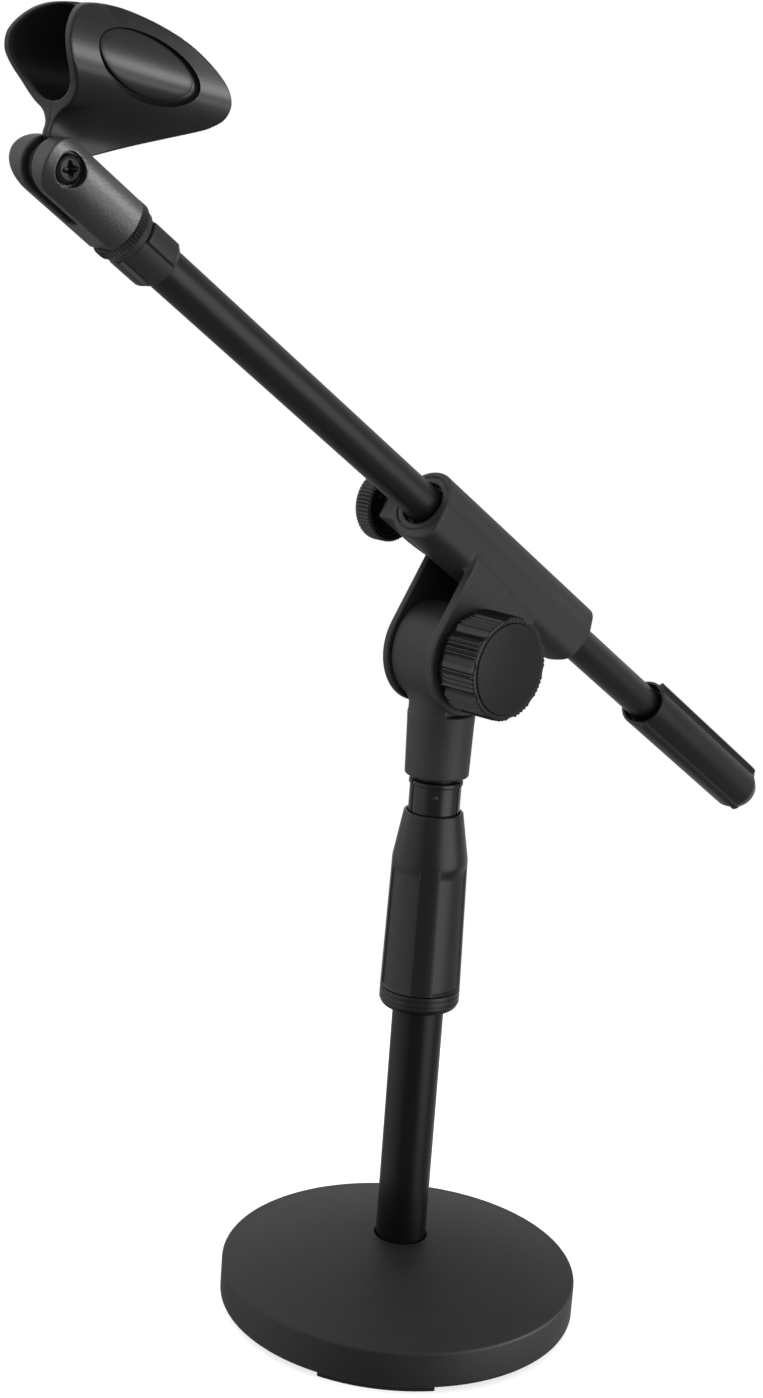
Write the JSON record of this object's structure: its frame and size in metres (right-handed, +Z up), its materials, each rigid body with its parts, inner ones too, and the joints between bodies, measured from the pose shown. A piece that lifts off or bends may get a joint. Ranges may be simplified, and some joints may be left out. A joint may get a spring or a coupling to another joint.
{
  "type": "desktop microphone stand",
  "caption": "Weighted round-base desktop microphone stand with a twist-clutch column, tilting sliding boom with end grip, and a spring-jaw clip on a swivel adapter.",
  "frame": {"origin": "centre of the underside of the base pads, on the table", "axes": "+Z up the column; the boom lies in the XZ plane with its microphone clip towards -X; +Y points to the thumb screw's side, -Y to the large knob's side"},
  "size_m": [0.3935, 0.14, 0.4742],
  "materials": {
    "cast_iron_coated": "fine-textured black powder coat, matt",
    "tube_black": "smooth gloss black",
    "moulded_black": "satin, very fine moulded grain",
    "knob_black": "semi-gloss with knurled rims",
    "rubber_black": "matt",
    "steel_zinc": "bright zinc, turned and threaded",
    "steel_black": "glossy black oxide",
    "brass": "machined",
    "acetal": "smooth natural white",
    "clip_black": "satin rubberised nylon"
  },
  "bodies": {
    "stand": {"base_weight": "cast_iron_coated", "foot_pad_1": "rubber_black", "foot_pad_2": "rubber_black", "foot_pad_3": "rubber_black", "centre_pad": "rubber_black", "base_washer": "steel_zinc", "base_bolt": "steel_zinc", "tube_foot_insert": "steel_zinc", "outer_tube": "tube_black", "clutch_thread_collar": "moulded_black", "clutch_collet": "knob_black"},
    "clutch": {"clutch_grip": "moulded_black", "clutch_end_ring": "moulded_black"},
    "post": {"inner_tube": "tube_black", "swivel_hub": "moulded_black", "neck_grub_screw": "steel_black", "friction_washer_near": "acetal", "friction_washer_far": "acetal"},
    "carriage": {"tube_glide": "acetal"},
    "clamp": {"boom_clamp": "moulded_black", "pivot_bolt": "steel_zinc", "pivot_washer_near": "steel_zinc", "pivot_washer_far": "steel_zinc", "clamp_shoe": "acetal"},
    "tilt_knob_body": {"tilt_knob": "knob_black", "tilt_knob_nut": "brass", "tilt_knob_cap": "knob_black"},
    "thumb_screw": {"clamp_knob": "knob_black", "clamp_screw": "steel_zinc"},
    "boom": {"boom_tube": "tube_black", "end_grip": "moulded_black", "boom_end_plug": "steel_zinc", "boom_end_collar": "moulded_black", "boom_end_stud": "steel_zinc"},
    "lock": {"lock_ring": "knob_black"},
    "adapter": {"clip_adapter": "moulded_black", "clip_screw": "steel_black", "clip_nut": "steel_zinc"},
    "clip": {"clip_jaws": "clip_black"}
  },
  "joints": [
    {"name": "clutch_turn", "type": "hinge", "parent": "stand", "child": "clutch", "pos_m": [0, 0, 0.165], "axis": [0, 0, 1], "range_deg": [0, 180]},
    {"name": "height_slide", "type": "slide", "parent": "stand", "child": "carriage", "axis": [0, 0, 1], "range_m": [0, 0.08]},
    {"name": "head_pan", "type": "hinge", "parent": "carriage", "child": "post", "pos_m": [0, 0, 0.15], "axis": [0, 0, 1], "continuous": true},
    {"name": "boom_tilt", "type": "hinge", "parent": "post", "child": "clamp", "pos_m": [0, 0, 0.2642], "axis": [0, 1, 0], "range_deg": [-60, 57]},
    {"name": "tilt_knob_turn", "type": "hinge", "parent": "clamp", "child": "tilt_knob_body", "pos_m": [0, -0.024, 0.2642], "axis": [0, -1, 0], "range_deg": [0, 360]},
    {"name": "thumb_screw_turn", "type": "hinge", "parent": "clamp", "child": "thumb_screw", "pos_m": [-0.01117, 0.025, 0.3164], "axis": [0, 1, 0], "range_deg": [0, 360]},
    {"name": "boom_slide", "type": "slide", "parent": "clamp", "child": "boom", "axis": [-0.843, 0, 0.5379], "range_m": [-0.14, 0.058]},
    {"name": "lock_ring_turn", "type": "hinge", "parent": "boom", "child": "lock", "pos_m": [-0.15701, 0, 0.40946], "axis": [-0.843, 0, 0.5379], "range_deg": [0, 180]},
    {"name": "adapter_turn", "type": "hinge", "parent": "boom", "child": "adapter", "pos_m": [-0.16502, 0, 0.41457], "axis": [-0.843, 0, 0.5379], "range_deg": [-180, 180]},
    {"name": "clip_tilt", "type": "hinge", "parent": "adapter", "child": "clip", "pos_m": [-0.18382, 0, 0.42657], "axis": [-0.0375, -0.9976, -0.0588], "range_deg": [-20, 90]}
  ]
}
